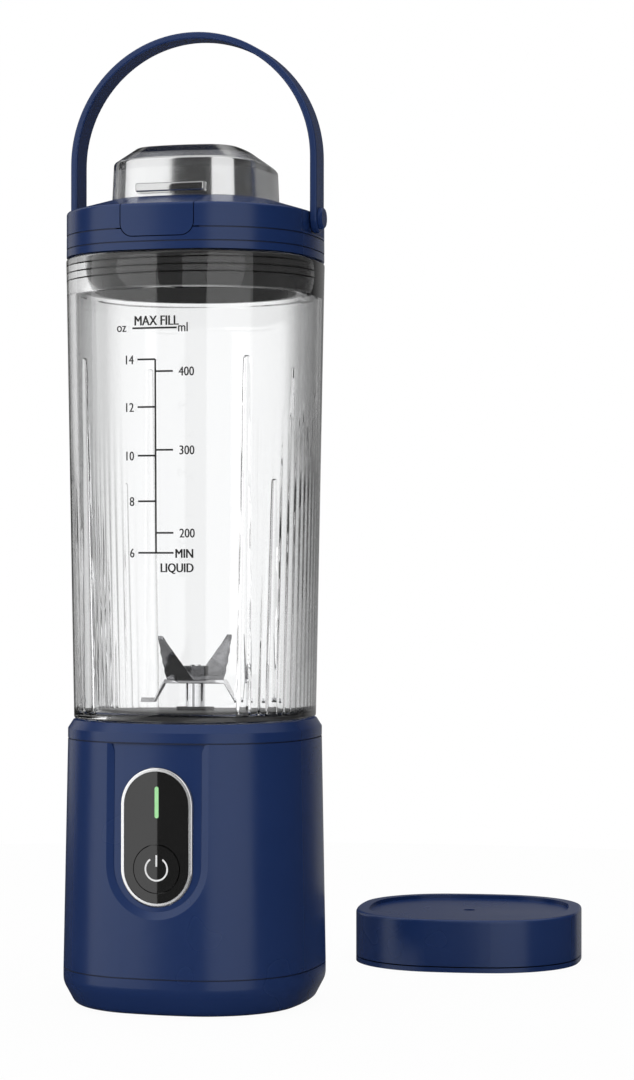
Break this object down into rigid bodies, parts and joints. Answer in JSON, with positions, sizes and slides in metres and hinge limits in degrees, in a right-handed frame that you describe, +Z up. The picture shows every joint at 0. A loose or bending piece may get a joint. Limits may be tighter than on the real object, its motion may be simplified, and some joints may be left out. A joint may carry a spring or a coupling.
{
  "type": "portable personal blender",
  "caption": "Cordless personal blender with a clear jar, spouted flip-cap lid, bail handle, control panel, spinning blades and a loose travel cap.",
  "frame": {"origin": "middle of the foot pad's resting face, on the axis of the blades", "axes": "+Z up along the axis of the blades; -Y is the front, with the control panel and the latch; +X is to the right seen from the front"},
  "size_m": [0.1405, 0.1972, 0.3017],
  "materials": {
    "navy_shell": "navy moulded plastic, soft gloss",
    "navy_lid": "navy moulded plastic, soft gloss",
    "clear_jar": "clear moulded copolyester, polished",
    "smoky_cap": "smoky translucent plastic, polished",
    "black_plastic": "black plastic, polished",
    "black_matte": "black plastic, fine texture",
    "bezel_silver": "satin chrome plating",
    "light_pipe": "green diffusing plastic",
    "blade_steel": "ground stainless steel",
    "plain_steel": "zinc plated steel",
    "spring_steel": "drawn spring steel",
    "brass_copper": "bare copper alloy",
    "magnet": "sintered ferrite",
    "circuit_board": "green solder mask",
    "cell_wrap": "shrink wrapped steel cell",
    "grey_rubber": "soft rubber",
    "clear_seal": "translucent silicone"
  },
  "bodies": {
    "base": {"base_housing": "navy_shell", "base_bottom_cover": "navy_shell", "foot_pad": "grey_rubber", "base_screws": "plain_steel", "base_collar": "navy_shell", "base_deck": "black_matte", "deck_screws": "plain_steel", "jar_seal": "grey_rubber", "control_bezel": "bezel_silver", "control_panel": "black_plastic", "indicator_light": "light_pipe", "control_board": "circuit_board", "tact_switch": "circuit_board", "usb_socket": "plain_steel", "charge_board": "circuit_board", "battery_cells": "cell_wrap", "battery_holder": "black_matte", "motor_can": "plain_steel", "motor_end_cap": "black_matte", "motor_bushing_upper": "brass_copper", "motor_bushing_lower": "brass_copper", "motor_magnets": "magnet", "motor_mount": "plain_steel", "motor_screws": "plain_steel", "mount_screws": "plain_steel", "shaft_bearing": "plain_steel", "shaft_seal": "grey_rubber"},
    "button": {"power_button": "black_plastic"},
    "port_flap": {"charge_port_cover": "navy_shell"},
    "rotor": {"motor_shaft": "plain_steel", "armature": "brass_copper", "commutator": "brass_copper", "blade_shaft": "blade_steel", "blade_upper": "blade_steel", "blade_lower": "blade_steel", "blade_nut": "blade_steel"},
    "vessel": {"jar": "clear_jar"},
    "lid": {"lid_top": "navy_lid", "lid_skirt": "navy_lid", "lid_lower_ring": "navy_lid", "lid_gasket": "clear_seal", "lid_plug": "black_plastic", "spout": "black_matte", "flip_hinge_pin": "plain_steel", "handle_pins": "navy_lid", "latch_spring": "spring_steel"},
    "latch": {"latch_button": "navy_lid"},
    "flip": {"flip_cap": "smoky_cap", "spout_stopper": "grey_rubber"},
    "bail": {"carry_handle": "navy_lid"},
    "travel_cap": {"travel_cap_shell": "navy_shell", "travel_cap_ring": "navy_shell", "travel_cap_liner": "black_matte", "travel_cap_seal": "clear_seal"}
  },
  "joints": [
    {"name": "jar_lift", "type": "slide", "parent": "base", "child": "vessel", "axis": [0, 0, 1], "range_m": [0, 0.06]},
    {"name": "lid_lift", "type": "slide", "parent": "vessel", "child": "lid", "axis": [0, 0, 1], "range_m": [0, 0.04]},
    {"name": "flip_cap_open", "type": "hinge", "parent": "lid", "child": "flip", "pos_m": [0, 0.027, 0.2509], "axis": [-1, 0, 0], "range_deg": [0, 105]},
    {"name": "handle_swing", "type": "hinge", "parent": "lid", "child": "bail", "pos_m": [0, 0, 0.2429], "axis": [1, 0, 0], "range_deg": [-90, 90]},
    {"name": "latch_press", "type": "slide", "parent": "lid", "child": "latch", "axis": [0, 1, 0], "range_m": [0, 0.0015], "stiffness_N_per_m": 400, "deforming": ["latch_spring"]},
    {"name": "blade_spin", "type": "hinge", "parent": "base", "child": "rotor", "pos_m": [0, 0, 0.09], "axis": [0, 0, 1], "continuous": true},
    {"name": "power_press", "type": "slide", "parent": "base", "child": "button", "axis": [0, 1, 0], "range_m": [0, 0.0008], "stiffness_N_per_m": 300},
    {"name": "port_cover_open", "type": "hinge", "parent": "base", "child": "port_flap", "pos_m": [0, 0.0391, 0.0156], "axis": [-1, 0, 0], "range_deg": [0, 110]},
    {"name": "travel_cap_lift", "type": "slide", "parent": "base", "child": "travel_cap", "axis": [0, 0, 1], "range_m": [0, 0.06]}
  ]
}
